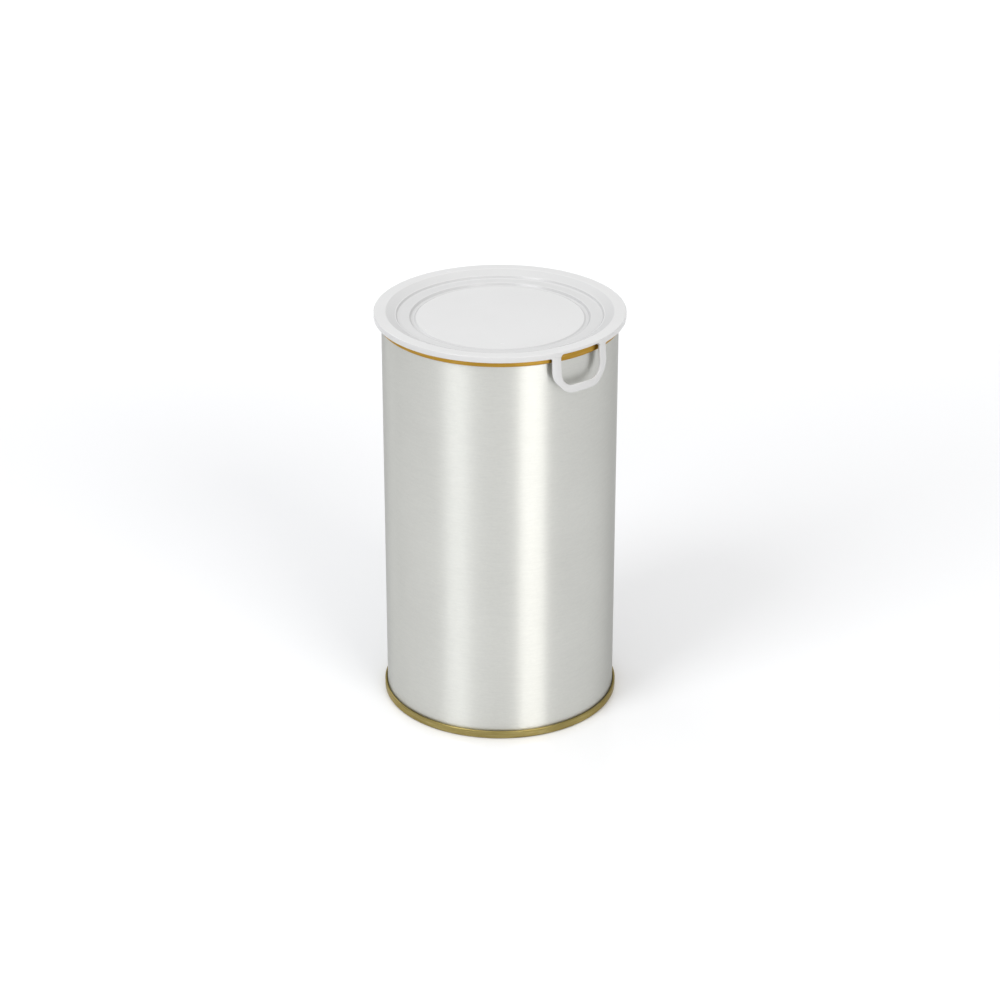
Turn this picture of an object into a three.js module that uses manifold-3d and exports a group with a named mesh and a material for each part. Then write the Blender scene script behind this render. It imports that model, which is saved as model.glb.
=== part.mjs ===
// A round tinplate can for tennis balls: a welded body with a double-seamed bottom, an easy-open end with a
// ring pull on top, and a moulded plug lid with a pull loop. Millimetres, +Z up, the origin on the can's axis
// in the plane that it stands on. The lid's loop and the ring pull's nose are on the -Y side.

import * as THREE from 'three';
import { mergeVertices } from 'three/addons/utils/BufferGeometryUtils.js';
import Module from 'manifold-3d';

const wasm = await Module();
wasm.setup();

// Driving dimensions

const SEGMENTS = 56; // flats around the can

const BODY_RADIUS = 41.85; // outside of the body wall
const BODY_PLATE = 0.22; // tinplate of the body
const END_PLATE = 0.24; // tinplate of both ends
const CAN_HEIGHT = 148.1; // over both seams, without the lid

const SEAM_HEIGHT = 3.05; // length of a double seam
const SEAM_PLAY = 0.1; // left between two layers of plate in a seam
const SEAM_CREST_BEND = 0.45; // bend radius of the end plate at the seam's crest
const SEAM_HOOK_BEND = 0.25; // bend radius of the two hooks
const BODY_HOOK_DEPTH = 2.5; // from the seam's crest to the tip of the body hook
const END_HOOK_DEPTH = 1.05; // from the seam's crest to the tip of the end hook
const COMPOUND_DEPTH = [0.72, 0.96]; // where the sealing compound lies below the crest
const COMPOUND_WIDTH = 0.2;

const TOP_PANEL_DEPTH = 4.4; // from the seam's crest to the easy-open end's outer panel face
const COUNTERSINK_DEPTH = 5.5; // from the seam's crest to the middle of the plate in the groove
const SCORE_RADIUS = 38.35; // middle of the tear line
const SCORE_GAP = 0.3; // opened up between the ring and the panel
const PANEL_RECESS = 0.58; // step down from the panel's rim to its middle
const PANEL_RECESS_RADIUS = 35.3;
const PANEL_STEP_WIDTH = 0.6; // run of the slope between the recess and the rim

const RING_GROOVE = { rimEdge: 39.1, inner: 39.6, outer: 40.6 }; // radii of the countersink groove
const BOTTOM_PANEL_DEPTH = 3.5; // from the seam's crest to the middle of the plate
const BOTTOM_STEP = 0.5; // between the middle panel and the flat ring round it
const BOTTOM_GROOVE_DEPTH = 4.8;
const BOTTOM_RADII = { panel: 28.4, ring: 29.2, ringEdge: 38.6, groove: 39.3, grooveEdge: 40.5 };
const CHUCK_WALL_RISE = 0.9; // from a groove's floor to the start of the chuck wall

const RIVET_DISTANCE = 31.2; // from the can's axis
const RIVET_STEM_RADIUS = 1.5;
const RIVET_HEAD_RADIUS = 2.4;
const RIVET_HEAD_HEIGHT = 0.5;
const RIVET_HEAD_CHAMFER = [0.4, 0.15]; // across and down
const RIVET_HOLE_CLEARANCE = 0.25; // round the stem in the tongue
const TONGUE_THICKNESS = 0.35;
const TONGUE_WIDTH = 6.2;
const TONGUE_ROOT = 3.1; // from the rivet towards the nose
const SHEET_CLEARANCE = 0.1; // between the panel, the tongue and the rivet's head

const PULL_THICKNESS = 1.1; // over the curled edge
const PULL_NOSE = 37.0; // from the can's axis to the nose's tip
const PULL_NOSE_RADIUS = 3.6;
const PULL_RING_RADIUS = 11.8;
const PULL_RING_DISTANCE = 20.6; // from the can's axis to the ring's centre
const PULL_HOLE = { distance: 18.4, halfWidth: 8.6, halfLength: 7.4 };
const PULL_RIVET_OPENING = 3.4; // radius of the opening around the rivet
const PULL_LIFT = 0.2; // clear of the panel's rim

const LID_TOP = 149.4;
const LID_RADIUS = 44.53;
const LID_FLANGE = 1.1; // thickness over the seam
const SKIRT_BOTTOM = 147.24;
const SKIRT_INNER_RADIUS = 43.3;
const PLUG_RADIUS = 41.04; // fits inside the easy-open end's chuck wall
const PLUG_RIB = 1.14; // thickness of the ring that grips the chuck wall
const PLUG_BOTTOM = 145.7;

// The lid's dish as [radius, z], from the centre outwards

const LID_DISC_TOP = 146.5;
const DISH_TOP = [
  [29.5, LID_DISC_TOP],
  [30.0, 146.3],
  [32.2, 146.35],
  [33.2, 147.2],
  [34.2, 147.2],
  [35.7, 147.6],
  [37.0, 147.9],
  [40.5, LID_TOP],
];
const LID_DISC_UNDERSIDE = 145.55;
const DISH_UNDERSIDE = [
  [29.2, LID_DISC_UNDERSIDE],
  [30.0, 145.35],
  [32.4, 145.35],
  [33.7, 146.2],
  [36.2, 146.45],
  [37.2, 146.95],
  [PLUG_RADIUS - PLUG_RIB, 148.1],
];
const LID_EDGE_CHAMFER = 0.3;

const LOOP_HALF_WIDTH = 11.95;
const LOOP_OPENING_HALF_WIDTH = 8.72;
const LOOP_BOTTOM = 133.8;
const LOOP_OPENING_BOTTOM = 136.45;
const LOOP_CORNER = 5.6; // chamfer at the loop's lower corners
const LOOP_CORNER_SOFTENING = 2.6; // rounds both ends of each chamfer
const LOOP_OPENING_CORNER = 4.8; // radius at the opening's lower corners
const LOOP_THICKNESS = 0.95;
const LOOP_SPLAY = 1.2; // how far the bottom stands out beyond the skirt
const LOOP_HINGE_GAP = 0.35; // between the legs and the skirt
const SLOT_CORNER = 1.2; // radius at the slot's upper corners

// Radii of the plate's middle in a double seam, from the can's axis outwards

const LAYER = BODY_PLATE / 2 + SEAM_PLAY + END_PLATE / 2;
const BODY_LAYER = BODY_RADIUS - BODY_PLATE / 2;
const CHUCK_LAYER = BODY_LAYER - LAYER;
const END_HOOK_LAYER = BODY_LAYER + LAYER;
const BODY_HOOK_LAYER = BODY_LAYER + 2 * LAYER;
const SEAMING_LAYER = BODY_LAYER + 3 * LAYER;

// Sheet sections. A line is a list of { r, z, bend }, the middle of the plate; bend is the corner's radius.

/** Replaces each corner that has a bend by the two points where its arc would start and end. */
function bent(line) {
  const points = [];
  line.forEach((corner, i) => {
    const here = new THREE.Vector2(corner.r, corner.z);
    if (!corner.bend) {
      points.push(here);
      return;
    }
    for (const neighbour of [line[i - 1], line[i + 1]]) {
      const along = new THREE.Vector2(neighbour.r, neighbour.z).sub(here).normalize();
      points.push(here.clone().addScaledVector(along, corner.bend));
    }
  });
  return points;
}

/** The closed outline of a plate of even thickness whose middle follows the line. */
function sheetOutline(line, thickness) {
  const middle = bent(line);
  const last = middle.length - 1;
  const left = [];
  const right = [];
  middle.forEach((point, i) => {
    const start = Math.max(i - 1, 0);
    const end = Math.min(i, last - 1);
    const arriving = middle[start + 1].clone().sub(middle[start]).normalize();
    const leaving = middle[end + 1].clone().sub(middle[end]).normalize();
    const normal = new THREE.Vector2(-arriving.y, arriving.x);
    const mitre = normal.clone().add(new THREE.Vector2(-leaving.y, leaving.x)).normalize();
    const reach = thickness / 2 / mitre.dot(normal);
    left.push(point.clone().addScaledVector(mitre, reach));
    right.push(point.clone().addScaledVector(mitre, -reach));
  });
  return [...right, ...left.reverse()];
}

/** Turns an outline about Z. An outline that starts on the axis ends there too; any other is closed. */
function turned(outline, segments = SEGMENTS) {
  const points = THREE.ShapeUtils.area(outline) < 0 ? [...outline].reverse() : [...outline];
  const onAxis = points.filter((point) => point.x === 0).length > 0;
  if (onAxis) {
    while (!(points[0].x === 0 && points.at(-1).x === 0)) points.push(points.shift());
  } else {
    points.push(points[0].clone());
  }
  return new THREE.LatheGeometry(points, segments).rotateX(Math.PI / 2);
}

const turnedSheet = (line, thickness) => turned(sheetOutline(line, thickness));
const vectors = (pairs) => pairs.map(([x, y]) => new THREE.Vector2(x, y));

// Solids, for cutting and joining

function toSolid(geometry) {
  const bare = geometry.clone();
  bare.deleteAttribute('normal');
  bare.deleteAttribute('uv');
  const merged = mergeVertices(bare, 1e-4);
  const triangles = [];
  for (let i = 0; i < merged.index.count; i += 3) {
    const corners = [0, 1, 2].map((k) => merged.index.getX(i + k));
    if (new Set(corners).size === 3) triangles.push(...corners);
  }
  const mesh = new wasm.Mesh({
    numProp: 3,
    vertProperties: new Float32Array(merged.attributes.position.array),
    triVerts: new Uint32Array(triangles),
  });
  mesh.merge();
  return new wasm.Manifold(mesh);
}

function toGeometry(solid) {
  const mesh = solid.getMesh();
  const geometry = new THREE.BufferGeometry();
  geometry.setAttribute('position', new THREE.BufferAttribute(mesh.vertProperties, 3));
  geometry.setIndex(new THREE.BufferAttribute(mesh.triVerts, 1));
  geometry.computeVertexNormals();
  return geometry;
}

/** Extrudes a shape drawn in X and Y upwards from z. */
function plate(shape, z, thickness, curveSegments) {
  const settings = { depth: thickness, bevelEnabled: false, curveSegments };
  return new THREE.ExtrudeGeometry(shape, settings).translate(0, 0, z);
}

/** Extrudes a shape drawn in X and Z through the can's front, from y to y + depth. */
function frontBlock(shape, y, depth, curveSegments) {
  const settings = { depth, bevelEnabled: false, curveSegments };
  return new THREE.ExtrudeGeometry(shape, settings).rotateX(Math.PI / 2).translate(0, y + depth, 0);
}

// Double seams, measured by depth from the crest, which faces up at the top and down at the bottom.

const topSeam = (depth) => CAN_HEIGHT - depth;
const bottomSeam = (depth) => depth;

/** The end plate's way over the seam: up the chuck wall, over the crest, down and round into the end hook. */
function endSeamLine(heightAt) {
  const crest = heightAt(END_PLATE / 2);
  const turn = heightAt(SEAM_HEIGHT - END_PLATE / 2);
  return [
    { r: CHUCK_LAYER, z: crest, bend: SEAM_CREST_BEND },
    { r: SEAMING_LAYER, z: crest, bend: SEAM_CREST_BEND },
    { r: SEAMING_LAYER, z: turn, bend: SEAM_HOOK_BEND },
    { r: END_HOOK_LAYER, z: turn, bend: SEAM_HOOK_BEND },
    { r: END_HOOK_LAYER, z: heightAt(END_HOOK_DEPTH) },
  ];
}

/** The body plate's hook in a seam, from its tip to the body wall. */
function bodyHookLine(heightAt) {
  const turn = heightAt(END_PLATE + SEAM_PLAY + BODY_PLATE / 2);
  return [
    { r: BODY_HOOK_LAYER, z: heightAt(BODY_HOOK_DEPTH) },
    { r: BODY_HOOK_LAYER, z: turn, bend: SEAM_HOOK_BEND },
    { r: BODY_LAYER, z: turn, bend: SEAM_HOOK_BEND },
  ];
}

const bodyGeometry = () => turnedSheet(
  [...bodyHookLine(bottomSeam), ...bodyHookLine(topSeam).reverse()],
  BODY_PLATE,
);

function compoundGeometry(heightAt) {
  const [near, far] = COMPOUND_DEPTH.map(heightAt);
  const inner = END_HOOK_LAYER - COMPOUND_WIDTH / 2;
  const outer = END_HOOK_LAYER + COMPOUND_WIDTH / 2;
  return turned(vectors([[inner, near], [outer, near], [outer, far], [inner, far]]));
}

// Ends

function bottomEndGeometry() {
  const panel = bottomSeam(BOTTOM_PANEL_DEPTH);
  const ring = bottomSeam(BOTTOM_PANEL_DEPTH + BOTTOM_STEP);
  const groove = bottomSeam(BOTTOM_GROOVE_DEPTH);
  return turnedSheet([
    { r: 0, z: panel },
    { r: BOTTOM_RADII.panel, z: panel },
    { r: BOTTOM_RADII.ring, z: ring },
    { r: BOTTOM_RADII.ringEdge, z: ring },
    { r: BOTTOM_RADII.groove, z: groove },
    { r: BOTTOM_RADII.grooveEdge, z: groove },
    { r: CHUCK_LAYER, z: bottomSeam(BOTTOM_GROOVE_DEPTH - CHUCK_WALL_RISE) },
    ...endSeamLine(bottomSeam),
  ], END_PLATE);
}

const PANEL_MIDDLE = TOP_PANEL_DEPTH + END_PLATE / 2;

const easyOpenRingGeometry = () => turnedSheet([
  { r: SCORE_RADIUS + SCORE_GAP / 2, z: topSeam(PANEL_MIDDLE) },
  { r: RING_GROOVE.rimEdge, z: topSeam(PANEL_MIDDLE) },
  { r: RING_GROOVE.inner, z: topSeam(COUNTERSINK_DEPTH) },
  { r: RING_GROOVE.outer, z: topSeam(COUNTERSINK_DEPTH) },
  { r: CHUCK_LAYER, z: topSeam(COUNTERSINK_DEPTH - CHUCK_WALL_RISE) },
  ...endSeamLine(topSeam),
], END_PLATE);

// Heights of what lies on the tear panel

const RECESS_FACE = topSeam(TOP_PANEL_DEPTH + PANEL_RECESS);
const TONGUE_BOTTOM = RECESS_FACE + SHEET_CLEARANCE;
const RIVET_HEAD_BOTTOM = TONGUE_BOTTOM + TONGUE_THICKNESS + SHEET_CLEARANCE;
const PULL_BOTTOM = topSeam(TOP_PANEL_DEPTH) + PULL_LIFT;

/** The panel inside the tear line, with the rivet that is drawn up from its own plate. */
function tearPanelGeometry() {
  const panel = turnedSheet([
    { r: 0, z: topSeam(PANEL_MIDDLE + PANEL_RECESS) },
    { r: PANEL_RECESS_RADIUS, z: topSeam(PANEL_MIDDLE + PANEL_RECESS) },
    { r: PANEL_RECESS_RADIUS + PANEL_STEP_WIDTH, z: topSeam(PANEL_MIDDLE) },
    { r: SCORE_RADIUS - SCORE_GAP / 2, z: topSeam(PANEL_MIDDLE) },
  ], END_PLATE);
  const rivetTop = RIVET_HEAD_BOTTOM + RIVET_HEAD_HEIGHT;
  const rivet = turned(vectors([
    [0, RECESS_FACE - END_PLATE / 2],
    [RIVET_STEM_RADIUS, RECESS_FACE - END_PLATE / 2],
    [RIVET_STEM_RADIUS, RIVET_HEAD_BOTTOM],
    [RIVET_HEAD_RADIUS, RIVET_HEAD_BOTTOM],
    [RIVET_HEAD_RADIUS, rivetTop - RIVET_HEAD_CHAMFER[1]],
    [RIVET_HEAD_RADIUS - RIVET_HEAD_CHAMFER[0], rivetTop],
    [0, rivetTop],
  ]), 20).translate(0, -RIVET_DISTANCE, 0);
  return toGeometry(toSolid(panel).add(toSolid(rivet)));
}

/** The riveted tongue of the ring pull: it stays flat on the panel while the ring is lifted. */
function tongueGeometry() {
  const half = TONGUE_WIDTH / 2;
  const root = -RIVET_DISTANCE - TONGUE_ROOT;
  const shape = new THREE.Shape();
  shape.moveTo(-half, root);
  shape.lineTo(half, root);
  shape.absarc(0, -RIVET_DISTANCE, half, 0, Math.PI, false);
  shape.closePath();
  const hole = new THREE.Path();
  hole.absarc(0, -RIVET_DISTANCE, RIVET_STEM_RADIUS + RIVET_HOLE_CLEARANCE, 0, 2 * Math.PI, true);
  shape.holes.push(hole);
  return plate(shape, TONGUE_BOTTOM, TONGUE_THICKNESS, 8);
}

/** The ring pull: a round ring that narrows to its nose, with a finger hole and an opening for the rivet. */
function ringPullGeometry() {
  const noseCentre = PULL_NOSE - PULL_NOSE_RADIUS;
  const tangent = Math.acos((PULL_RING_RADIUS - PULL_NOSE_RADIUS) / (noseCentre - PULL_RING_DISTANCE));
  const rightSide = -Math.PI / 2 + tangent;
  const leftSide = -Math.PI / 2 - tangent;
  const shape = new THREE.Shape();
  shape.absarc(0, -PULL_RING_DISTANCE, PULL_RING_RADIUS, rightSide, leftSide + 2 * Math.PI, false);
  shape.absarc(0, -noseCentre, PULL_NOSE_RADIUS, leftSide, rightSide, false);
  shape.closePath();
  const { distance, halfWidth, halfLength } = PULL_HOLE;
  const fingerHole = new THREE.Path();
  fingerHole.absellipse(0, -distance, halfWidth, halfLength, 0, 2 * Math.PI, true, 0);
  const rivetOpening = new THREE.Path();
  rivetOpening.absarc(0, -RIVET_DISTANCE, PULL_RIVET_OPENING, 0, 2 * Math.PI, true);
  shape.holes.push(fingerHole, rivetOpening);
  return plate(shape, PULL_BOTTOM, PULL_THICKNESS, 12);
}

// Lid

/** The moulded lid: skirt, flange over the seam, a rib that plugs the end, and a dished centre. */
function lidGeometry() {
  const flangeUnderside = LID_TOP - LID_FLANGE;
  const disc = turned(vectors([
    [0, LID_DISC_UNDERSIDE],
    ...DISH_UNDERSIDE,
    [PLUG_RADIUS - PLUG_RIB, PLUG_BOTTOM],
    [PLUG_RADIUS, PLUG_BOTTOM],
    [PLUG_RADIUS, flangeUnderside],
    [SKIRT_INNER_RADIUS, flangeUnderside],
    [SKIRT_INNER_RADIUS, SKIRT_BOTTOM],
    [LID_RADIUS, SKIRT_BOTTOM],
    [LID_RADIUS, LID_TOP - LID_EDGE_CHAMFER],
    [LID_RADIUS - LID_EDGE_CHAMFER, LID_TOP],
    ...[...DISH_TOP].reverse(),
    [0, LID_DISC_TOP],
  ]));
  const half = LOOP_OPENING_HALF_WIDTH;
  const slot = new THREE.Shape();
  slot.moveTo(-half, SKIRT_BOTTOM - 1);
  slot.lineTo(half, SKIRT_BOTTOM - 1);
  slot.lineTo(half, flangeUnderside - SLOT_CORNER);
  slot.absarc(half - SLOT_CORNER, flangeUnderside - SLOT_CORNER, SLOT_CORNER, 0, Math.PI / 2, false);
  slot.absarc(SLOT_CORNER - half, flangeUnderside - SLOT_CORNER, SLOT_CORNER, Math.PI / 2, Math.PI, false);
  slot.closePath();
  const cutter = frontBlock(slot, -LID_RADIUS - 2, 4.5, 3);
  return toGeometry(toSolid(disc).subtract(toSolid(cutter)));
}

/** The pull loop below the skirt: the part of a flaring ring that lies inside a U-shaped outline. */
function pullLoopGeometry() {
  const top = SKIRT_BOTTOM - LOOP_HINGE_GAP;
  const lower = LOOP_BOTTOM - 1;
  const flare = LOOP_SPLAY * (top - lower) / (top - LOOP_BOTTOM);
  const ring = turned(vectors([
    [LID_RADIUS - LOOP_THICKNESS, top],
    [LID_RADIUS - LOOP_THICKNESS + flare, lower],
    [LID_RADIUS + flare, lower],
    [LID_RADIUS, top],
  ]), 2 * SEGMENTS);
  const outer = LOOP_HALF_WIDTH;
  const inner = LOOP_OPENING_HALF_WIDTH;
  const floor = LOOP_OPENING_BOTTOM;
  const corner = LOOP_OPENING_CORNER;
  const soft = LOOP_CORNER_SOFTENING;
  const outline = new THREE.Shape();
  outline.moveTo(-outer, top + 1);
  outline.lineTo(-outer, LOOP_BOTTOM + LOOP_CORNER + soft);
  outline.quadraticCurveTo(-outer, LOOP_BOTTOM + LOOP_CORNER, soft - outer, LOOP_BOTTOM + LOOP_CORNER - soft);
  outline.lineTo(LOOP_CORNER - outer - soft, LOOP_BOTTOM + soft);
  outline.quadraticCurveTo(LOOP_CORNER - outer, LOOP_BOTTOM, LOOP_CORNER - outer + soft, LOOP_BOTTOM);
  outline.lineTo(outer - LOOP_CORNER - soft, LOOP_BOTTOM);
  outline.quadraticCurveTo(outer - LOOP_CORNER, LOOP_BOTTOM, outer - LOOP_CORNER + soft, LOOP_BOTTOM + soft);
  outline.lineTo(outer - soft, LOOP_BOTTOM + LOOP_CORNER - soft);
  outline.quadraticCurveTo(outer, LOOP_BOTTOM + LOOP_CORNER, outer, LOOP_BOTTOM + LOOP_CORNER + soft);
  outline.lineTo(outer, top + 1);
  outline.lineTo(inner, top + 1);
  outline.lineTo(inner, floor + corner);
  outline.absarc(inner - corner, floor + corner, corner, 0, -Math.PI / 2, true);
  outline.absarc(corner - inner, floor + corner, corner, -Math.PI / 2, -Math.PI, true);
  outline.lineTo(-inner, top + 1);
  outline.closePath();
  const block = frontBlock(outline, -LID_RADIUS - 4, 8, 3);
  return toGeometry(toSolid(ring).intersect(toSolid(block)));
}

// Finishes

const finish = (color, roughness, metalness) => ({ color, roughness, metalness });
const BARE_TINPLATE = finish(0xc9c8c2, 0.38, 1);
const GOLD_LACQUER = finish(0xb0873c, 0.3, 1);
const BRASS_LACQUER = finish(0xa3935f, 0.35, 1);
const COMPOUND = finish(0x6f6a5e, 0.8, 0);
const WHITE_PLASTIC = finish(0xe8e8e8, 0.35, 0);

function piece(name, geometry, settings) {
  const mesh = new THREE.Mesh(geometry, new THREE.MeshStandardMaterial(settings));
  mesh.name = name;
  return mesh;
}

const can = new THREE.Group();
can.add(
  piece('can_body', bodyGeometry(), BARE_TINPLATE),
  piece('bottom_end', bottomEndGeometry(), BRASS_LACQUER),
  piece('bottom_seam_compound', compoundGeometry(bottomSeam), COMPOUND),
  piece('easy_open_ring', easyOpenRingGeometry(), GOLD_LACQUER),
  piece('top_seam_compound', compoundGeometry(topSeam), COMPOUND),
);

const tearPanel = new THREE.Group();
tearPanel.add(
  piece('tear_panel', tearPanelGeometry(), GOLD_LACQUER),
  piece('pull_tongue', tongueGeometry(), GOLD_LACQUER),
  piece('ring_pull', ringPullGeometry(), GOLD_LACQUER),
);

const lid = new THREE.Group();
lid.add(
  piece('lid', lidGeometry(), WHITE_PLASTIC),
  piece('lid_pull_loop', pullLoopGeometry(), WHITE_PLASTIC),
);

const tennisBallCan = new THREE.Group();
tennisBallCan.add(can, tearPanel, lid);

export default tennisBallCan;
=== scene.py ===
# A tinplate can for tennis balls, with its easy-open end and its white plug lid, in a small photo studio.
# Lengths are in millimetres up to the point where a mesh is made. Every mesh is in the CAD model's frame.

import math

import bmesh
import bpy
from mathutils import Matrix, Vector


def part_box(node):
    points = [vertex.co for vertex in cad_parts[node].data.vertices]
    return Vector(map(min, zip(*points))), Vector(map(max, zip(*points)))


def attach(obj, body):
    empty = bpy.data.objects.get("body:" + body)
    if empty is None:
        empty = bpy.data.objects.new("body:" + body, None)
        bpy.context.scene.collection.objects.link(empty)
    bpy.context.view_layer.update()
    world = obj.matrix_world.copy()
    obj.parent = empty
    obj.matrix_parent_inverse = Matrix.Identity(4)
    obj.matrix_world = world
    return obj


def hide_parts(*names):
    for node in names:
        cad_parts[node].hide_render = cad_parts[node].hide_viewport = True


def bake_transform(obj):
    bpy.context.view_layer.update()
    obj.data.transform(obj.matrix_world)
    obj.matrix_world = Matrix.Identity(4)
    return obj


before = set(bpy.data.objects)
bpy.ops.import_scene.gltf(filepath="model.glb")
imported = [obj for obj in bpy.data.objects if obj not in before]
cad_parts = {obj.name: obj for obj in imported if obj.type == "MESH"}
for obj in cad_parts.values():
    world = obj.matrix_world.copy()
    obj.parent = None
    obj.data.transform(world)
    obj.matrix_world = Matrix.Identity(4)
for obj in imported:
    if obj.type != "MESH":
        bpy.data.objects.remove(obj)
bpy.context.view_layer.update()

MM = 0.001


def box_mm(node):
    """A CAD node's lowest and highest corner in millimetres."""
    low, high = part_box(node)
    return low / MM, high / MM


# Measures read from the CAD model

ring_high = box_mm("easy_open_ring")[1]
panel_high = box_mm("tear_panel")[1]
tongue_low = box_mm("pull_tongue")[0]
pull_low, pull_high = box_mm("ring_pull")
lid_high = box_mm("lid")[1]
loop_low, loop_high = box_mm("lid_pull_loop")

CREST = ring_high.z  # top of the upper double seam
LID_TOP = lid_high.z
LID_RADIUS = lid_high.x

# Plate and double seams

BODY_PLATE = 0.22
END_PLATE = 0.24
LAYER = 0.33  # from the middle of one layer of plate to the next in a seam
SEAM_HEIGHT = 3.05
SEAM_PLAY = 0.1
FOLD = 0.31  # radius of the plate's middle where it folds inside a seam
BODY_LAYER = ring_high.x - END_PLATE / 2 - 3 * LAYER
CHUCK_LAYER = BODY_LAYER - LAYER
END_HOOK_LAYER = BODY_LAYER + LAYER
BODY_HOOK_LAYER = BODY_LAYER + 2 * LAYER
SEAMING_LAYER = BODY_LAYER + 3 * LAYER
BODY_RADIUS = BODY_LAYER + BODY_PLATE / 2

# Lid: heights, and the radii of its section from the outside inwards

LID_SKIRT = 147.24  # lower edge of the skirt
FLANGE_UNDERSIDE = LID_TOP - 1.1
PLUG_BOTTOM = 145.7
DISC_TOP = 146.5
DISC_UNDERSIDE = 145.55
SKIRT_INNER = 43.3
PLUG_RADIUS = 41.04
PLUG_INNER = PLUG_RADIUS - 1.14
FLANGE_INNER = 40.4  # where the flange turns down into the dish
DISH_STEP = 36.25  # foot of the dish's outer slope
DISC_RADIUS = 29.65

ROUND = 288  # steps round the can


# Outlines: corners are (x, y, radius of the arc that rounds it)

def rounded(corners, steps=6):
    """The corners as points, each one with a radius but the first and the last replaced by an arc."""
    points = []
    for i, (x, y, radius) in enumerate(corners):
        here = Vector((x, y))
        if not radius or i in (0, len(corners) - 1):
            points.append(here)
            continue
        back = (Vector(corners[i - 1][:2]) - here).normalized()
        ahead = (Vector(corners[i + 1][:2]) - here).normalized()
        half = back.angle(ahead) / 2
        centre = here + (back + ahead).normalized() * (radius / math.sin(half))
        start = here + back * (radius / math.tan(half)) - centre
        turn = math.copysign(math.pi - 2 * half, back.x * ahead.y - back.y * ahead.x)
        for k in range(steps + 1):
            angle = -turn * k / steps
            cosine, sine = math.cos(angle), math.sin(angle)
            x, y = start.x * cosine - start.y * sine, start.x * sine + start.y * cosine
            points.append(centre + Vector((x, y)))
    return points


def plate_outline(middle, thickness):
    """The closed outline of a plate of even thickness whose middle follows the points."""
    left, right = [], []
    last = len(middle) - 1
    for i, point in enumerate(middle):
        arriving = (point - middle[i - 1] if i else middle[1] - point).normalized()
        leaving = (middle[i + 1] - point if i < last else point - middle[i - 1]).normalized()
        normal = Vector((-arriving.y, arriving.x))
        mitre = (normal + Vector((-leaving.y, leaving.x))).normalized()
        reach = mitre * (thickness / 2 / mitre.dot(normal))
        left.append(point + reach)
        right.append(point - reach)
    return right + left[::-1]


# Meshes

def add_object(name, vertices, faces):
    """An object from points in millimetres, its faces turned outwards."""
    mesh = bpy.data.meshes.new(name)
    mesh.from_pydata([Vector(v) * MM for v in vertices], [], faces)
    bm = bmesh.new()
    bm.from_mesh(mesh)
    bmesh.ops.remove_doubles(bm, verts=bm.verts, dist=1e-7)
    bmesh.ops.recalc_face_normals(bm, faces=bm.faces)
    for face in bm.faces:
        face.smooth = True
    bm.to_mesh(mesh)
    bm.free()
    obj = bpy.data.objects.new(name, mesh)
    bpy.context.scene.collection.objects.link(obj)
    return obj


def even_normals(obj):
    """Lets the large faces set the shading, so that flats stay flat next to small bends."""
    modifier = obj.modifiers.new("normals", "WEIGHTED_NORMAL")
    modifier.keep_sharp = True
    modifier.weight = 80
    return obj


def turned(name, outline, centre=(0.0, 0.0), steps=ROUND):
    """Turns an outline of (radius, z) about a vertical axis. It closes on itself or ends on the axis."""
    vertices, rows = [], []
    for point in outline:
        if abs(point[0]) < 1e-6:
            rows.append([len(vertices)] * steps)
            vertices.append((centre[0], centre[1], point[1]))
            continue
        rows.append(list(range(len(vertices), len(vertices) + steps)))
        for k in range(steps):
            angle = 2 * math.pi * k / steps
            x, y = point[0] * math.sin(angle), -point[0] * math.cos(angle)
            vertices.append((centre[0] + x, centre[1] + y, point[1]))
    faces = []
    on_axis = abs(outline[0][0]) < 1e-6 and abs(outline[-1][0]) < 1e-6
    last = len(rows) - 1 if on_axis else len(rows)
    for j in range(last):
        low, high = rows[j], rows[(j + 1) % len(rows)]
        for k in range(steps):
            n = (k + 1) % steps
            corners = list(dict.fromkeys((low[k], low[n], high[n], high[k])))
            if len(corners) > 2:
                faces.append(corners)
    return even_normals(add_object(name, vertices, faces))


def lofted(name, sections, closed_path=False):
    """Joins closed sections with equal numbers of points into a skin, capped where the path is open."""
    count = len(sections[0])
    vertices = [point for section in sections for point in section]
    faces = []
    for i in range(len(sections) if closed_path else len(sections) - 1):
        a, b = i * count, (i + 1) % len(sections) * count
        for k in range(count):
            n = (k + 1) % count
            faces.append((a + k, a + n, b + n, b + k))
    if not closed_path:
        faces.append(tuple(range(count)))
        faces.append(tuple(range(len(vertices) - 1, len(vertices) - count - 1, -1)))
    return add_object(name, vertices, faces)


# Material nodes

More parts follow.
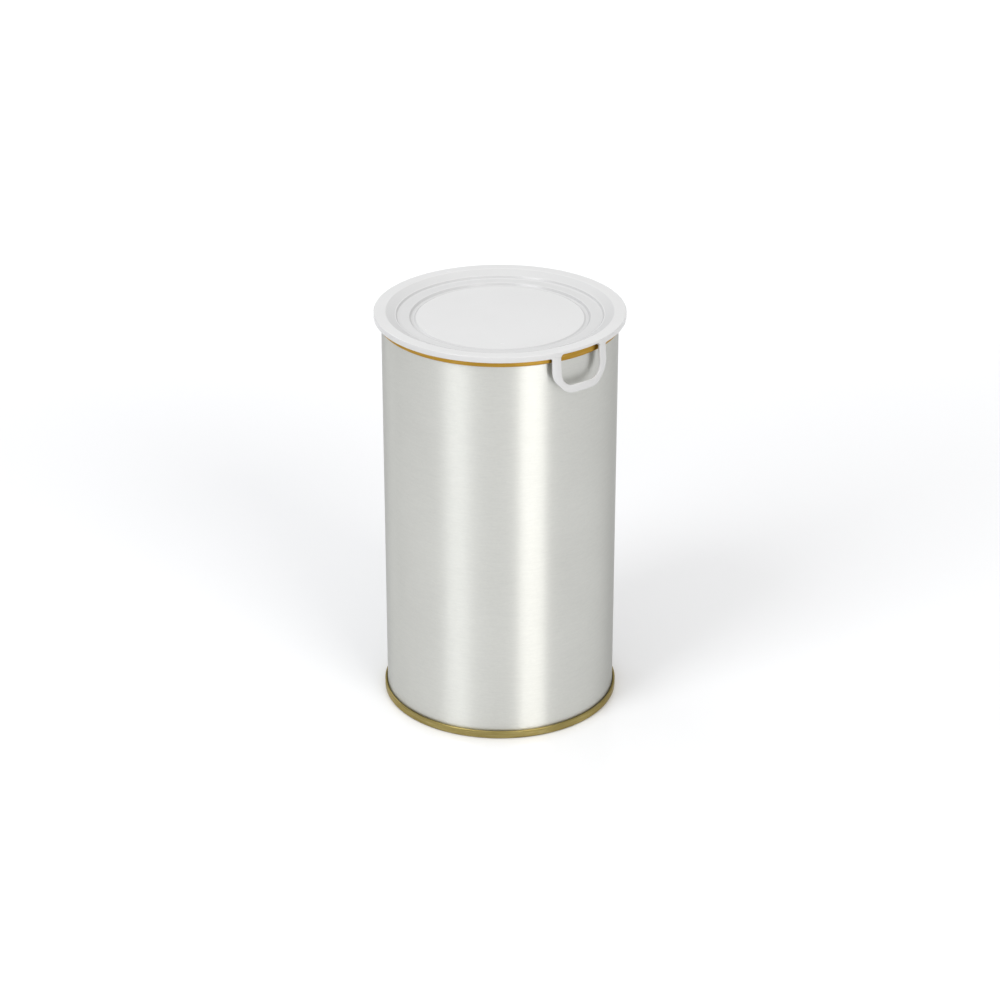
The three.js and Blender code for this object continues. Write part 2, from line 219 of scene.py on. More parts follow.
class Nodes:
    """A material's node tree around one Principled shader, which starts with flat values."""

    def __init__(self, name, color, roughness, metallic=0.0):
        self.material = bpy.data.materials.new(name)
        self.material.use_nodes = True
        self.tree = self.material.node_tree
        self.shader = self.tree.nodes["Principled BSDF"]
        self.set("Base Color", (*color, 1.0))
        self.set("Roughness", roughness)
        self.set("Metallic", metallic)

    def set(self, socket, value):
        self.shader.inputs[socket].default_value = value

    def drive(self, socket, source):
        self.link(source, self.shader.inputs[socket])

    def add(self, kind, **values):
        node = self.tree.nodes.new("ShaderNode" + kind)
        for key, value in values.items():
            setattr(node, key, value)
        return node

    def link(self, source, target):
        self.tree.links.new(source, target)

    def math(self, operation, first, second=0.0):
        node = self.add("Math", operation=operation)
        for socket, value in zip(node.inputs, (first, second)):
            if isinstance(value, (int, float)):
                socket.default_value = value
            else:
                self.link(value, socket)
        return node.outputs[0]

    def total(self, *weighted):
        """The sum of values, each times its weight."""
        result = 0.0
        for value, weight in weighted:
            result = self.math("ADD", self.math("MULTIPLY", value, weight), result)
        return result

    def place(self):
        """The point on the object in its own axes, in metres."""
        return self.add("TexCoord").outputs["Object"]

    def split(self, vector):
        node = self.add("SeparateXYZ")
        self.link(vector, node.inputs[0])
        return node.outputs

    def joined(self, *values):
        node = self.add("CombineXYZ")
        for value, socket in zip(values, node.inputs):
            self.link(value, socket)
        return node.outputs[0]

    def radius(self):
        """Distance from the Z axis."""
        x, y, _ = self.split(self.place())
        squares = [self.math("MULTIPLY", side, side) for side in (x, y)]
        return self.math("SQRT", self.math("ADD", *squares))

    def round_place(self, along, across):
        """Coordinates for textures that run round the Z axis, and across it by height and radius."""
        x, y, z = self.split(self.place())
        turn = self.math("ARCTAN2", x, self.math("MULTIPLY", y, -1.0))
        return self.joined(self.math("MULTIPLY", turn, along), self.math("MULTIPLY", z, across),
                           self.math("MULTIPLY", self.radius(), across))

    def noise(self, vector, scale=1.0, detail=3.0, roughness=0.55):
        node = self.add("TexNoise")
        self.link(vector, node.inputs["Vector"])
        node.inputs["Scale"].default_value = scale
        node.inputs["Detail"].default_value = detail
        node.inputs["Roughness"].default_value = roughness
        return node.outputs["Fac"]

    def spread(self, value, low, high, start=0.0, end=1.0):
        """Runs from low to high while the value runs from start to end."""
        node = self.add("MapRange")
        self.link(value, node.inputs["Value"])
        for key, number in zip(("From Min", "From Max", "To Min", "To Max"), (start, end, low, high)):
            node.inputs[key].default_value = number
        return node.outputs["Result"]

    def mixed(self, factor, first, second):
        """One colour turning into another, each of them a socket or three numbers."""
        node = self.add("Mix", data_type="RGBA")
        self.link(factor, node.inputs["Factor"])
        for key, color in ((6, first), (7, second)):
            if isinstance(color, tuple):
                node.inputs[key].default_value = (*color, 1.0)
            else:
                self.link(color, node.inputs[key])
        return node.outputs[2]

    def mixed_value(self, factor, first, second):
        node = self.add("Mix", data_type="FLOAT")
        for key, value in ((0, factor), (2, first), (3, second)):
            self.link(value, node.inputs[key])
        return node.outputs[0]

    def bump(self, height, strength, distance):
        node = self.add("Bump")
        node.inputs["Strength"].default_value = strength
        node.inputs["Distance"].default_value = distance
        self.link(height, node.inputs["Height"])
        return node.outputs["Normal"]


FINE_RELIEF, COARSE_RELIEF = 0.02 * MM, 0.05 * MM  # heights of the bumps


def around_tangent(nodes, anisotropy):
    """Stretches highlights across the turning direction, as brushing or rolling round the axis does."""
    nodes.drive("Tangent", nodes.add("Tangent", direction_type="RADIAL", axis="Z").outputs[0])
    nodes.set("Anisotropic", anisotropy)
    nodes.set("Anisotropic Rotation", 0.25)


def fine_strokes(nodes):
    """Brush strokes round the can, about 1.6 mm long and 0.3 mm wide on its body."""
    return nodes.noise(nodes.round_place(along=26.0, across=3000.0), detail=4.0, roughness=0.7)


def brushed_tinplate():
    """Temper-rolled tinplate: short fine strokes round the can, a hazy sheen over a sharper reflection."""
    nodes = Nodes("brushed_tinplate", (0.74, 0.74, 0.7), 0.36, metallic=1.0)
    strokes = fine_strokes(nodes)
    streaks = nodes.noise(nodes.round_place(along=9.0, across=1300.0))
    specks = nodes.noise(nodes.place(), 1100.0, detail=2.0)
    patches = nodes.noise(nodes.place(), 30.0, detail=2.0)
    tone = nodes.total((strokes, 0.5), (streaks, 0.3), (specks, 0.2))
    dark, light = (0.645, 0.647, 0.612), (0.72, 0.722, 0.682)
    nodes.drive("Base Color", nodes.mixed(nodes.spread(tone, 0.0, 1.0, 0.3, 0.7), dark, light))
    stroke_roughness = nodes.spread(strokes, -0.035, 0.035, 0.3, 0.7)
    patch_roughness = nodes.spread(patches, 0.345, 0.375, 0.3, 0.7)
    nodes.drive("Roughness", nodes.math("ADD", stroke_roughness, patch_roughness))
    nodes.drive("Normal", nodes.bump(nodes.total((strokes, 0.5), (streaks, 0.3)), 0.2, FINE_RELIEF))
    around_tangent(nodes, 0.93)
    nodes.set("Specular Tint", (0.5, 0.5, 0.49, 1.0))
    nodes.set("Coat Weight", 0.2)
    nodes.set("Coat IOR", 2.0)
    nodes.set("Coat Roughness", 0.09)
    return nodes.material


def inner_tinplate():
    """The bare inside of the tube: the same strokes, without the wear."""
    nodes = Nodes("inner_tinplate", (0.8, 0.79, 0.76), 0.34, metallic=1.0)
    strokes = fine_strokes(nodes)
    patches = nodes.noise(nodes.place(), 30.0, detail=2.0)
    nodes.drive("Base Color", nodes.mixed(patches, (0.78, 0.775, 0.745), (0.83, 0.82, 0.79)))
    nodes.drive("Roughness", nodes.spread(strokes, 0.24, 0.31, 0.3, 0.7))
    nodes.drive("Normal", nodes.bump(strokes, 0.1, FINE_RELIEF))
    around_tangent(nodes, 0.5)
    return nodes.material


def lacquer(name, dark, light, roughness, rub):
    """Lacquered tinplate: straight rolling grain in the plate, burnished round by the rolls in the seam."""
    nodes = Nodes(name, light, roughness, metallic=1.0)
    x, y, _ = nodes.split(nodes.place())
    along_y = nodes.joined(nodes.math("MULTIPLY", x, 2600.0), nodes.math("MULTIPLY", y, 110.0))
    grain = nodes.noise(along_y, roughness=0.6)
    burnish = nodes.noise(nodes.round_place(along=5.0, across=1400.0), detail=4.0)
    in_seam = nodes.spread(nodes.radius(), 0.0, 1.0, 40.7 * MM, 41.1 * MM)
    lines = nodes.mixed_value(in_seam, grain, burnish)
    patches = nodes.noise(nodes.place(), 45.0, detail=2.0)
    shade = nodes.total((patches, 0.5), (lines, 0.5))
    whole = nodes.mixed(nodes.spread(shade, 0.0, 1.0, 0.35, 0.65), dark, light)
    rubbed_metal = (0.72, 0.64, 0.48)
    nodes.drive("Base Color", nodes.mixed(nodes.spread(lines, 0.0, rub, 0.55, 0.75), whole, rubbed_metal))
    nodes.drive("Roughness", nodes.spread(patches, roughness - 0.03, roughness + 0.04, 0.3, 0.7))
    nodes.drive("Normal", nodes.bump(lines, 0.12, FINE_RELIEF))
    nodes.set("Specular Tint", (0.7, 0.6, 0.4, 1.0))
    nodes.set("Coat Weight", 0.3)
    nodes.set("Coat Roughness", 0.12)
    return nodes.material


def white_plastic():
    """Moulded polyethylene with painted shade: darker on sloping faces and in the ring round the dish's
    disc.
    """
    # dark is the grey that is painted in as shade.
    white, light, dark = (0.692, 0.689, 0.685), (0.707, 0.704, 0.7), (0.5, 0.5, 0.5)
    nodes = Nodes("white_polyethylene", white, 0.24)
    flow = nodes.noise(nodes.place(), 32.0, detail=2.0)
    grain = nodes.noise(nodes.place(), 2600.0, detail=2.0)
    scuffs = nodes.noise(nodes.round_place(along=7.0, across=1700.0), detail=4.0)
    cloud = nodes.mixed(nodes.spread(flow, 0.0, 1.0, 0.35, 0.65), white, light)
    # Painted shade: sloping and upright faces are darkened by their normal, and so is the ring between the
    # disc and the dish's step.
    upward = nodes.split(nodes.add("TexCoord").outputs["Normal"])[2]
    steep_painted_shade = nodes.spread(nodes.math("ABSOLUTE", upward), 0.75, 0.0, 0.87, 0.985)
    radius = nodes.radius()
    off_disc = nodes.spread(radius, 0.0, 0.28, (DISC_RADIUS + 0.05) * MM, (DISC_RADIUS + 0.65) * MM)
    in_dish = nodes.spread(radius, 1.0, 0.0, (DISH_STEP - 0.75) * MM, (DISH_STEP + 0.55) * MM)
    ring = nodes.math("MULTIPLY", off_disc, in_dish)
    # The painted shade is weaker outside the dish, on the skirt and the pull loop.
    painted_shade_reach = nodes.spread(radius, 1.0, 0.62, (FLANGE_INNER - 0.6) * MM, (FLANGE_INNER + 0.4) * MM)
    shade = nodes.math("MULTIPLY", painted_shade_reach, nodes.math("MAXIMUM", steep_painted_shade, ring))
    nodes.drive("Base Color", nodes.mixed(shade, cloud, dark))
    flow_roughness = nodes.spread(flow, 0.2, 0.26, 0.3, 0.7)
    scuff_roughness = nodes.spread(scuffs, 0.0, 0.03, 0.55, 0.75)
    nodes.drive("Roughness", nodes.math("ADD", flow_roughness, scuff_roughness))
    nodes.drive("Normal", nodes.bump(grain, 0.06, FINE_RELIEF))
    nodes.set("Subsurface Weight", 0.15)
    nodes.set("Subsurface Radius", (MM, MM, MM))
    nodes.set("Subsurface Scale", 1.0)
    nodes.set("IOR", 1.5)
    return nodes.material


def compound():
    """Sealing compound: dull, grainy rubber."""
    nodes = Nodes("sealing_compound", (0.2, 0.18, 0.14), 0.8)
    grain = nodes.noise(nodes.place(), 900.0)
    nodes.drive("Base Color", nodes.mixed(grain, (0.16, 0.15, 0.12), (0.26, 0.23, 0.18)))
    nodes.drive("Normal", nodes.bump(grain, 0.4, COARSE_RELIEF))
    return nodes.material


def weld_metal():
    """The darker, rippled metal of the side weld."""
    nodes = Nodes("weld_metal", (0.3, 0.29, 0.28), 0.45, metallic=1.0)
    ripples = nodes.noise(nodes.place(), 1500.0)
    nodes.drive("Base Color", nodes.mixed(ripples, (0.2, 0.19, 0.2), (0.42, 0.4, 0.37)))
    nodes.drive("Normal", nodes.bump(ripples, 0.5, COARSE_RELIEF))
    return nodes.material


BRUSHED = brushed_tinplate()
INNER = inner_tinplate()
TOP_GOLD = lacquer("gold_lacquer", (0.34, 0.187, 0.017), (0.45, 0.255, 0.028), 0.3, 0.1)
BOTTOM_BRASS = lacquer("brass_lacquer", (0.25, 0.195, 0.06), (0.37, 0.3, 0.105), 0.34, 0.2)
PLASTIC = white_plastic()
COMPOUND = compound()
WELD = weld_metal()


def finished(obj, body, slot, *nodes):
    """Puts a rigid piece on its body in place of its CAD nodes."""
    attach(obj, body)
    if nodes:
        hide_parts(*nodes)


def give(obj, *materials):
    """Gives an object its materials in place of any it has."""
    obj.data.materials.clear()
    for material in materials:
        obj.data.materials.append(material)
    return obj


# Double seams, by depth from the crest

def top_seam(depth):
    return CREST - depth


def bottom_seam(depth):
    return depth


def end_seam(height_at):
    """Corners of an end's plate from the chuck wall over the seam into its hook."""
    crest, turn = height_at(END_PLATE / 2), height_at(SEAM_HEIGHT - END_PLATE / 2)
    return [
        (CHUCK_LAYER, crest, 0.55),
        (SEAMING_LAYER, crest, 0.6),
        (SEAMING_LAYER, turn, FOLD),
        (END_HOOK_LAYER, turn, FOLD),
        (END_HOOK_LAYER, height_at(1.05), 0),
    ]


def body_hook(height_at):
    """Corners of the body's plate from the tip of its hook to the wall."""
    turn = height_at(END_PLATE + SEAM_PLAY + BODY_PLATE / 2)
    return [
        (BODY_HOOK_LAYER, height_at(2.5), 0),
        (BODY_HOOK_LAYER, turn, FOLD),
        (BODY_LAYER, turn, FOLD),
    ]


# Body

def make_body():
    """The tube with a hook at both ends, brushed outside and in the hooks, plainer inside."""
    outline = plate_outline(rounded(body_hook(bottom_seam) + body_hook(top_seam)[::-1]), BODY_PLATE)
    shell = give(turned("body_shell", outline), BRUSHED, INNER)
    for face in shell.data.polygons:
        outward = face.normal.xy.dot(face.center.xy) > 0
        in_hook = face.center.xy.length > (BODY_RADIUS + 0.05) * MM
        face.material_index = 0 if outward or in_hook else 1
    finished(shell, "can", "bare_tinplate", "can_body")


def make_weld():
    """The welded lap down the back of the body, a low rounded ridge between the two seams."""
    half_width, rise, sink = 0.42, 0.07, 0.05
    low, high = SEAM_HEIGHT + 0.25, CREST - SEAM_HEIGHT - 0.25
    rows = 240
    sections = []
    for i in range(rows + 1):
        z = low + (high - low) * i / rows
        wander = 0.05 * math.sin(i * 0.9) + 0.03 * math.sin(i * 2.3)
        swell = rise + 0.012 * math.sin(i * 1.7)
        steps = [k / 4 - 1 for k in range(9)]
        ridge = [(t, swell * math.cos(t * math.pi / 2) ** 0.7 - sink * abs(t)) for t in steps]
        foot = [(t, -sink - 0.03) for t in (1, 0, -1)]
        section = []
        for across, height in ridge + foot:
            angle = (half_width * across + wander) / BODY_RADIUS
            radius = BODY_RADIUS + height
            section.append((radius * math.sin(angle), radius * math.cos(angle), z))
        sections.append(section)
    weld = give(lofted("weld_line", sections), WELD)
    finished(weld, "can", "bare_tinplate")


# Ends

def make_bottom_end():
    """The bottom's plate: a sunk middle with a round bead, a step, and the chuck wall into the seam."""
    middle, bead, step, ledge = 3.5, 3.9, 4.0, 4.8
    corners = [
        (0, middle, 0), (20.0, middle, 0.8), (20.8, bead, 0.8), (22.2, bead, 0.8), (23.0, middle, 0.8),
        (28.4, middle, 0.8), (29.3, step, 0.8), (38.5, step, 0.6), (39.2, ledge, 0.5),
        (40.75, ledge, 0.5), (CHUCK_LAYER, 3.6, 0.8),
    ]
    outline = plate_outline(rounded(corners + end_seam(bottom_seam)), END_PLATE)
    finished(give(turned("bottom_plate", outline), BOTTOM_BRASS), "can", "brass_lacquer", "bottom_end")


SCORE_RADIUS = panel_high.x + 0.15
RIM_MIDDLE = CREST - 4.4 - END_PLATE / 2  # the plate's middle at the score
RECESS = 0.58  # depth of the tear panel's middle below its rim
BEAD_RADIUS, BEAD_HEIGHT = 32.6, 0.35
RIB_X, RIB_HEIGHT = 14.8, 0.42
WELL_Y, WELL_DEPTH = -5.6, 1.0  # the hollow under the ring pull's end, for a fingertip
RIVET_Y = -31.2


def make_ring():
    """The outer part of the easy-open end, from the score down its chuck wall and into the seam."""
    corners = [
        (SCORE_RADIUS + 0.12, RIM_MIDDLE, 0), (39.05, RIM_MIDDLE, 0.35), (39.6, top_seam(5.5), 0.5),
        (40.75, top_seam(5.5), 0.5), (CHUCK_LAYER, top_seam(4.4), 0.8),
    ]
    outline = plate_outline(rounded(corners + end_seam(top_seam)), END_PLATE)
    finished(give(turned("end_ring", outline), TOP_GOLD), "can", "gold_lacquer", "easy_open_ring")


def smooth_step(value, start, end):
    """Eases from 0 to 1 while the value runs from start to end."""
    t = min(max((value - start) / (end - start), 0.0), 1.0)
    return t * t * (3 - 2 * t)


def bell(distance, width):
    """A rounded ridge, 1 at its middle."""
    return math.exp(-(distance / width) ** 2)


def panel_height(x, y):
    """Height of the tear panel's middle: its rim, its recess, a bead, side ribs and the finger well."""
    radius = math.hypot(x, y)
    height = RIM_MIDDLE - RECESS * (1 - smooth_step(radius, 35.2, 36.1))
    height += BEAD_HEIGHT * bell(radius - BEAD_RADIUS, 0.55) * smooth_step(y, -26.5, -24.0)
    height -= WELL_DEPTH * (1 - smooth_step(math.hypot(x / 7.5, (y - WELL_Y) / 5.2), 0.45, 1.0))
    along_rib = smooth_step(y, -27.0, -24.5) * (1 - smooth_step(y, -8.0, -5.0))
    height += RIB_HEIGHT * bell(abs(x) - RIB_X, 0.7) * along_rib
    height += 0.12 * (1 - smooth_step(math.hypot(x, y - RIVET_Y), 2.2, 3.4))
    return height


def make_tear_panel():
    """The panel inside the score, in rings that lie closer together near its edge."""
    steps = 240
    radii = [k * 0.6 for k in range(53)] + [31.2 + k * 0.2 for k in range(1, 35)]
    radii = [r for r in radii if r < SCORE_RADIUS - 0.4] + [SCORE_RADIUS - 0.36, SCORE_RADIUS - 0.24]
    vertices, rows = [], []
    for side in (1, -1):
        for radius in radii:
            half = side * END_PLATE / 2 * (0.55 if radius == radii[-1] else 1.0)
            count = steps if radius else 1
            rows.append([len(vertices) + k % count for k in range(steps)])
            for k in range(count):
                angle = 2 * math.pi * k / steps
                x, y = radius * math.sin(angle), -radius * math.cos(angle)
                vertices.append((x, y, panel_height(x, y) + half))
    count = len(radii)
    joins = [(j, j + 1) for j in range(2 * count - 1) if j != count - 1] + [(count - 1, 2 * count - 1)]
    faces = []
    for a, b in joins:
        for k in range(steps):
            n = (k + 1) % steps
            faces.append(list(dict.fromkeys((rows[a][k], rows[a][n], rows[b][n], rows[b][k]))))
    panel = even_normals(add_object("tear_panel_plate", vertices, faces))
    finished(give(panel, TOP_GOLD), "tear_panel", "gold_lacquer", "tear_panel")


def make_rivet():
    """The rivet that is drawn up from the panel, with its flattened head over the ring pull's tongue."""
    base, head = RIM_MIDDLE - RECESS, panel_high.z
    corners = [
        (0, base, 0), (1.5, base, 0), (1.5, head - 0.5, 0.08), (2.4, head - 0.5, 0.1),
        (2.4, head, 0.22), (1.25, head, 0.25), (0.95, head - 0.28, 0.25), (0, head - 0.28, 0),
    ]
    rivet = turned("rivet", rounded(corners), (0.0, RIVET_Y), 64)
    finished(give(rivet, TOP_GOLD), "tear_panel", "gold_lacquer")


# Ring pull

HOLE_Y, HOLE_HALF_WIDTH, HOLE_HALF_LENGTH = -18.4, 8.6, 7.4
RIVET_OPENING = 3.4
NOSE_RADIUS = 3.6
RING_RADIUS = pull_high.x
RING_Y = pull_high.y - RING_RADIUS
NOSE_Y = pull_low.y + NOSE_RADIUS


def pull_outline(direction):
    """Where a ray from the finger hole's centre leaves the ring pull, and the outline's normal there.

    The outline is a large circle and a small one at the nose, joined by the two lines that touch both.
    """
    origin, ring, nose = (Vector((0, y)) for y in (HOLE_Y, RING_Y, NOSE_Y))
    tilt = math.acos((RING_RADIUS - NOSE_RADIUS) / (RING_Y - NOSE_Y))
    for side in (-1, 1):
        normal = Vector((side * math.sin(tilt), -math.cos(tilt)))
        facing = direction.dot(normal)
        if facing > 1e-6:
            point = origin + direction * ((RING_RADIUS - normal.dot(origin - ring)) / facing)
            if (nose + normal * NOSE_RADIUS).y <= point.y <= (ring + normal * RING_RADIUS).y:
                return point, normal
    for centre, radius in ((ring, RING_RADIUS), (nose, NOSE_RADIUS)):
        offset = origin - centre
        along = offset.dot(direction)
        root = along * along - offset.length_squared + radius * radius
        if root < 0:
            continue
        point = origin + direction * (math.sqrt(root) - along)
        normal = (point - centre).normalized()
        if centre is nose or normal.y > -math.cos(tilt) - 1e-9:
            return point, normal


def make_ring_pull():
    """One curled stamping: rolled edges round the outline and the finger hole, a thin web between them."""
    curl = (pull_high.z - pull_low.z) / 2
    middle = pull_low.z + curl
    web_top, web_bottom = pull_high.z - 0.16, pull_high.z - 0.5
    turns = [math.radians(90 - 260 * j / 13) for j in range(14)]
    hole_centre = Vector((0, HOLE_Y))
    steps = 240
    sections = []
    for k in range(steps):
        angle = 2 * math.pi * (k + 0.5) / steps
        hole = Vector((HOLE_HALF_WIDTH * math.sin(angle), HOLE_HALF_LENGTH * math.cos(angle)))
        inward = -Vector((hole.x / HOLE_HALF_WIDTH ** 2, hole.y / HOLE_HALF_LENGTH ** 2)).normalized()
        edge, outward = pull_outline(hole.normalized())
        section = []
        for anchor, normal, order in ((edge, outward, 1), (hole_centre + hole, inward, -1)):
            axis = anchor - normal * curl
            arc = [(axis + normal * (curl * math.cos(t)), middle + curl * math.sin(t)) for t in turns]
            web = anchor - normal * (2 * curl + 0.25)
            section += [(web, web_top), *arc, (web, web_bottom)][::order]
        sections.append([(point.x, point.y, z) for point, z in section])
    pull = lofted("pull_ring", sections, closed_path=True)
    low, high = pull_low.z - 1, pull_low.z + 3
    cutter = turned("opening_cutter", [(0, low), (RIVET_OPENING, low), (RIVET_OPENING, high), (0, high)],
                    (0.0, RIVET_Y), 64)
    cut = pull.modifiers.new("opening", "BOOLEAN")
    cut.object = cutter
    cut.operation = "DIFFERENCE"
    cut.solver = "EXACT"
    bpy.context.view_layer.update()
    cut_mesh = bpy.data.meshes.new_from_object(pull.evaluated_get(bpy.context.evaluated_depsgraph_get()))
    pull.modifiers.clear()
    pull.data = cut_mesh
    bpy.data.objects.remove(cutter)
    finished(give(even_normals(pull), TOP_GOLD), "ring_pull", "gold_lacquer", "ring_pull")


def make_tongue():
    """The riveted tongue: flat on the panel round the rivet, then bending up into the nose of the pull."""
    half, thickness, soft = 3.1, 0.35, 0.1
    root_half, tip_half, lift = 2.9, 0.3, 0.62
    base = tongue_low.z
    tip, root = RIVET_Y + half, pull_low.y + 0.7
    rows = 60
    sections = []
    for i in range(rows + 1):
        y = tip - 0.02 + (root - tip) * i / rows
        width = half
        if y > RIVET_Y:
            width = math.sqrt(max(half ** 2 - (y - RIVET_Y) ** 2, tip_half ** 2))
        width = min(width, root_half + (half - root_half) * smooth_step(y, root, root + 1.5))
        low = base + lift * smooth_step(-y, -RIVET_Y + 3.4, -root)
        high = low + thickness
        under = [(-width, low + soft), (-width + soft, low), (width - soft, low), (width, low + soft)]
        over = [(width, high - soft), (width - soft, high), (-width + soft, high), (-width, high - soft)]
        sections.append([(x, y, z) for x, z in under + over])
    tongue = even_normals(give(lofted("pull_tongue_strip", sections), TOP_GOLD))
    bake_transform(tongue)
    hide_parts("pull_tongue")


# Lid, with a slot in its skirt between the legs of the pull loop

SLOT_HALF = 8.72
SLOT_CORNER = 1.2


def skirt_edge(arc):
    """Height of the skirt's lower edge at a distance round the rim from the middle of the loop."""
    flat = SLOT_HALF - SLOT_CORNER
    if arc >= SLOT_HALF:
        return LID_SKIRT
    if arc <= flat:
        return FLANGE_UNDERSIDE
    corner = FLANGE_UNDERSIDE - SLOT_CORNER + math.sqrt(SLOT_CORNER ** 2 - (arc - flat) ** 2)
    return max(LID_SKIRT, corner)


def lid_outline(edge):
    """The lid's section where its skirt ends at the given height, from below the disc round to its top."""
    edge_round = min(0.25, max((LID_TOP - edge) * 0.2, 0.1))
    under = [
        (0, DISC_UNDERSIDE, 0), (29.0, DISC_UNDERSIDE, 0.6), (30.0, 145.35, 0.6), (31.6, 145.35, 0.5),
        (32.7, 146.1, 0.8), (36.2, 146.45, 0.8), (37.2, 146.95, 0.8),
        (PLUG_INNER, 148.1, 0.35), (PLUG_INNER, PLUG_BOTTOM, 0.3),
        (PLUG_RADIUS, PLUG_BOTTOM, 0.45), (PLUG_RADIUS, FLANGE_UNDERSIDE, 0.3),
    ]
    if edge < FLANGE_UNDERSIDE - 0.3:
        skirt = [(SKIRT_INNER, FLANGE_UNDERSIDE, 0.25), (SKIRT_INNER, edge, edge_round)]
    else:
        skirt = [(SKIRT_INNER, min(edge, FLANGE_UNDERSIDE), 0.05), (SKIRT_INNER + 0.3, edge, 0.05)]
    over = [
        (LID_RADIUS, edge, edge_round), (LID_RADIUS, LID_TOP, 0.38), (FLANGE_INNER, LID_TOP, 1.4),
        (37.0, 148.0, 0.5), (36.7, 147.97, 0.14), (DISH_STEP, 147.3, 0.3), (35.3, 147.14, 0.6),
        (32.4, 147.12, 0.4), (31.9, 147.02, 0.14), (31.4, 146.25, 0.3), (31.0, 146.14, 0.4),
        (30.3, 146.14, 0.35), (DISC_RADIUS, DISC_TOP, 0.22), (0, DISC_TOP, 0),
    ]
    return rounded(under + skirt + over, steps=5)


def make_lid():
    """The lid's section swept round the axis, closer together at the slot's corners."""
    half_way = math.pi * LID_RADIUS
    arcs = [0.0]
    while arcs[-1] < half_way:
        at_corner = SLOT_HALF - SLOT_CORNER - 0.15 <= arcs[-1] <= SLOT_HALF + 0.1
        arcs.append(arcs[-1] + (0.06 if at_corner else 0.95))
    arcs = [arc for arc in arcs if arc < half_way - 0.3] + [half_way]
    arcs = [-arc for arc in arcs[:0:-1]][1:] + arcs
    vertices, rows = [(0, 0, DISC_UNDERSIDE), (0, 0, DISC_TOP)], []
    for arc in arcs:
        angle = arc / LID_RADIUS
        row = []
        for radius, z in lid_outline(skirt_edge(abs(arc)))[1:-1]:
            row.append(len(vertices))
            vertices.append((radius * math.sin(angle), -radius * math.cos(angle), z))
        rows.append([0, *row, 1])
    faces = []
    for row, after in zip(rows, rows[1:] + rows[:1]):
        for j in range(len(row) - 1):
            faces.append(list(dict.fromkeys((row[j], row[j + 1], after[j + 1], after[j]))))
    shell = even_normals(add_object("lid_shell", vertices, faces))
    finished(give(shell, PLASTIC), "lid", "white_plastic", "lid")


# Pull loop, drawn flat as (distance round the rim, z) and wrapped round the skirt's radius

LOOP_HALF = LID_RADIUS * math.asin(loop_high.x / LID_RADIUS)
LOOP_THICKNESS = 0.95
LOOP_SPLAY = 1.2  # how far its foot stands out from the skirt
LOOP_TOP = 147.6
LOOP_OPENING_BOTTOM = 136.45
LOOP_CORNER = 5.6


def loop_radius(z):
    """The loop's outer radius: the skirt's own at the root, flaring gently towards the bottom."""
    drop = max(LID_SKIRT - z, 0.0) / (LID_SKIRT - loop_low.z)
    return LID_RADIUS - 0.02 + LOOP_SPLAY * drop ** 1.15


def resampled(points, count):
    """Points spread evenly by length along a polyline."""
    lengths = [0.0]
    for a, b in zip(points, points[1:]):
        lengths.append(lengths[-1] + (b - a).length)
    found, i = [], 0
    for k in range(count):
        target = lengths[-1] * k / (count - 1)
        while i < len(points) - 2 and lengths[i + 1] < target:
            i += 1
        span = max(lengths[i + 1] - lengths[i], 1e-9)
        found.append(points[i].lerp(points[i + 1], (target - lengths[i]) / span))
    return found


def strap_section(width):
    """The strap's section as (distance from its outer edge, depth), with softened edges."""
    soft, thickness = 0.26, LOOP_THICKNESS
    cut = 0.3 * soft
    return [
        (0, soft), (cut, cut), (soft, 0), (width / 2, -0.03), (width - soft, 0), (width - cut, cut),
        (width, soft), (width, thickness - soft), (width - cut, thickness - cut), (width - soft, thickness),
        (width / 2, thickness), (soft, thickness), (cut, thickness - cut), (0, thickness - soft),
    ]


def make_loop():
    """A strap that follows the loop's outer and inner outline from one leg round to the other."""
    bottom, rows = loop_low.z, 90
    outer = resampled(rounded([
        (LOOP_HALF + 0.5, LOOP_TOP, 0), (LOOP_HALF + 0.5, LID_SKIRT, 0),
        (LOOP_HALF, LID_SKIRT - 0.05, 0.8), (LOOP_HALF, bottom + LOOP_CORNER, 6.2),
        (LOOP_HALF - LOOP_CORNER, bottom, 6.2), (0, bottom, 0),
    ], steps=8), rows)
    inner = resampled(rounded([
        (SLOT_HALF, LOOP_TOP, 0), (SLOT_HALF, LOOP_OPENING_BOTTOM, 4.8), (0, LOOP_OPENING_BOTTOM, 0),
    ], steps=10), rows)
    pairs = list(zip(outer, inner))
    mirrored = [(Vector((-o.x, o.y)), Vector((-i.x, i.y))) for o, i in pairs[::-1]][1:]
    sections = []
    for edge, opening in pairs + mirrored:
        across = (opening - edge).normalized()
        section = []
        for along, depth in strap_section((opening - edge).length):
            flat = edge + across * along
            radius = loop_radius(flat.y) - depth
            angle = flat.x / LID_RADIUS
            section.append((radius * math.sin(angle), -radius * math.cos(angle), flat.y))
        sections.append(section)
    loop = even_normals(give(lofted("pull_loop_strap", sections), PLASTIC))
    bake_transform(loop)
    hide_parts("lid_pull_loop")


# Studio

VIEW_AZIMUTH = math.radians(-39.2)  # the pull loop is this far to the right of the camera
CAMERA_DISTANCE, CAMERA_HEIGHT = 0.93092, 0.51682  # metres from the can's axis and above the floor
CAMERA_PITCH = math.radians(25.385)
CAMERA_LENS = 102.2
CAN_MIDDLE = Vector((0, 0, CREST * MM / 2))


def make_floor():
    """A wide sheet of slightly glossy white acrylic."""
    half = 6.0
    corners = [(-half, -half, 0), (half, -half, 0), (half, half, 0), (-half, half, 0)]
    mesh = bpy.data.meshes.new("studio_floor")
    mesh.from_pydata(corners, [], [(0, 1, 2, 3)])
    floor = bpy.data.objects.new("studio_floor", mesh)
    bpy.context.scene.collection.objects.link(floor)
    nodes = Nodes("white_acrylic", (0.93, 0.93, 0.935), 0.16)
    haze = nodes.noise(nodes.place(), 3.0)
    nodes.drive("Roughness", nodes.spread(haze, 0.13, 0.19, 0.3, 0.7))
    mesh.materials.append(nodes.material)


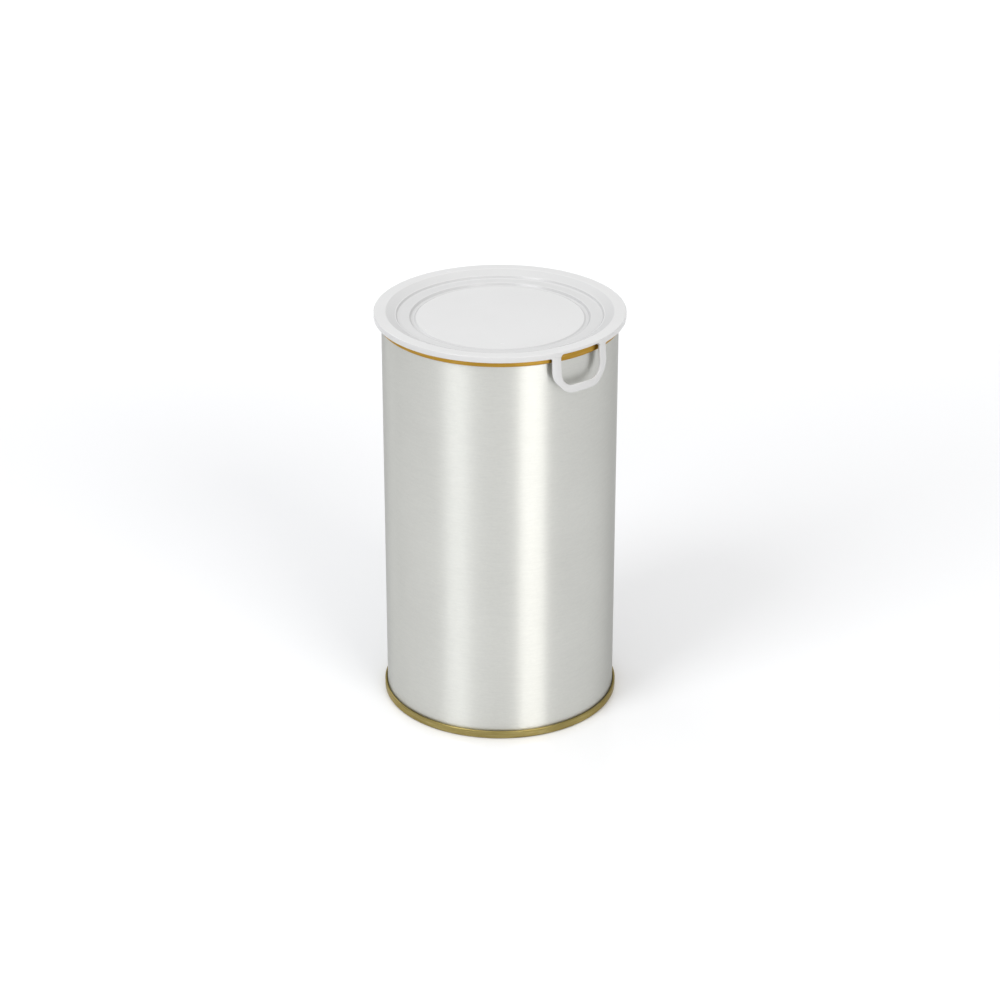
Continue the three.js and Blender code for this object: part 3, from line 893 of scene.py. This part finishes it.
def studio_place(azimuth, elevation, distance):
    """A point by its azimuth from the camera's side, its elevation and its distance from CAN_MIDDLE."""
    a, e = VIEW_AZIMUTH + math.radians(azimuth), math.radians(elevation)
    direction = Vector((math.sin(a) * math.cos(e), -math.cos(a) * math.cos(e), math.sin(e)))
    return CAN_MIDDLE + direction * distance


def make_camera():
    data = bpy.data.cameras.new("camera")
    data.lens = CAMERA_LENS
    data.sensor_width = 36.0
    data.clip_start, data.clip_end = 0.05, 30.0
    camera = bpy.data.objects.new("camera", data)
    camera.location = (math.sin(VIEW_AZIMUTH) * CAMERA_DISTANCE, -math.cos(VIEW_AZIMUTH) * CAMERA_DISTANCE,
                       CAMERA_HEIGHT)
    camera.rotation_euler = (math.pi / 2 - CAMERA_PITCH, 0.0, VIEW_AZIMUTH)
    bpy.context.scene.collection.objects.link(camera)
    bpy.context.scene.camera = camera


def softbox(name, azimuth, elevation, distance, size, power, color):
    """A rectangular lamp of a size in metres and a power in watts that faces the can's middle."""
    data = bpy.data.lights.new(name, "AREA")
    data.shape = "RECTANGLE"
    data.size, data.size_y = size
    data.energy = power
    data.color = color
    lamp = bpy.data.objects.new(name, data)
    lamp.location = studio_place(azimuth, elevation, distance)
    lamp.rotation_euler = (CAN_MIDDLE - lamp.location).to_track_quat("-Z", "Y").to_euler()
    lamp.visible_camera = False
    bpy.context.scene.collection.objects.link(lamp)
    return lamp


def make_lights():
    """Softboxes for the body's two highlights, one overhead, a rim light and one behind the can."""
    softbox("left_softbox", -45.8, 43.0, 2.2, (0.8, 1.375), 17.0, (0.97, 0.985, 1.0))
    softbox("right_softbox", 31.8, 28.0, 2.2, (0.95, 1.25), 16.2, (1.0, 0.985, 0.96))
    softbox("top_softbox", 0.0, 80.0, 2.8, (2.8, 2.8), 17.0, (1.0, 1.0, 1.0))
    softbox("left_rim", -138.0, 30.0, 2.2, (0.9, 1.2), 4.5, (0.96, 0.98, 1.0))
    back = softbox("backdrop_light", 180.0, 0.0, 1.03, (3.0, 1.2), 5.5, (1.0, 1.0, 1.0))
    back.location.z = 0.85  # turned to shine straight down on the floor behind the can
    back.rotation_euler = (0.0, 0.0, VIEW_AZIMUTH)
    back.data.spread = math.radians(40.0)


def make_world():
    """Even, faintly cool light from all round."""
    world = bpy.data.worlds.new("studio")
    world.use_nodes = True
    background = world.node_tree.nodes["Background"]
    background.inputs["Color"].default_value = (0.985, 0.99, 1.0, 1.0)
    background.inputs["Strength"].default_value = 0.62
    bpy.context.scene.world = world


make_body()
make_weld()
make_bottom_end()
make_ring()
make_tear_panel()
make_rivet()
make_ring_pull()
make_tongue()
make_lid()
make_loop()
for node in ("bottom_seam_compound", "top_seam_compound"):
    give(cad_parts[node], COMPOUND)

make_floor()
make_camera()
make_lights()
make_world()
bpy.context.scene.view_settings.view_transform = "Standard"
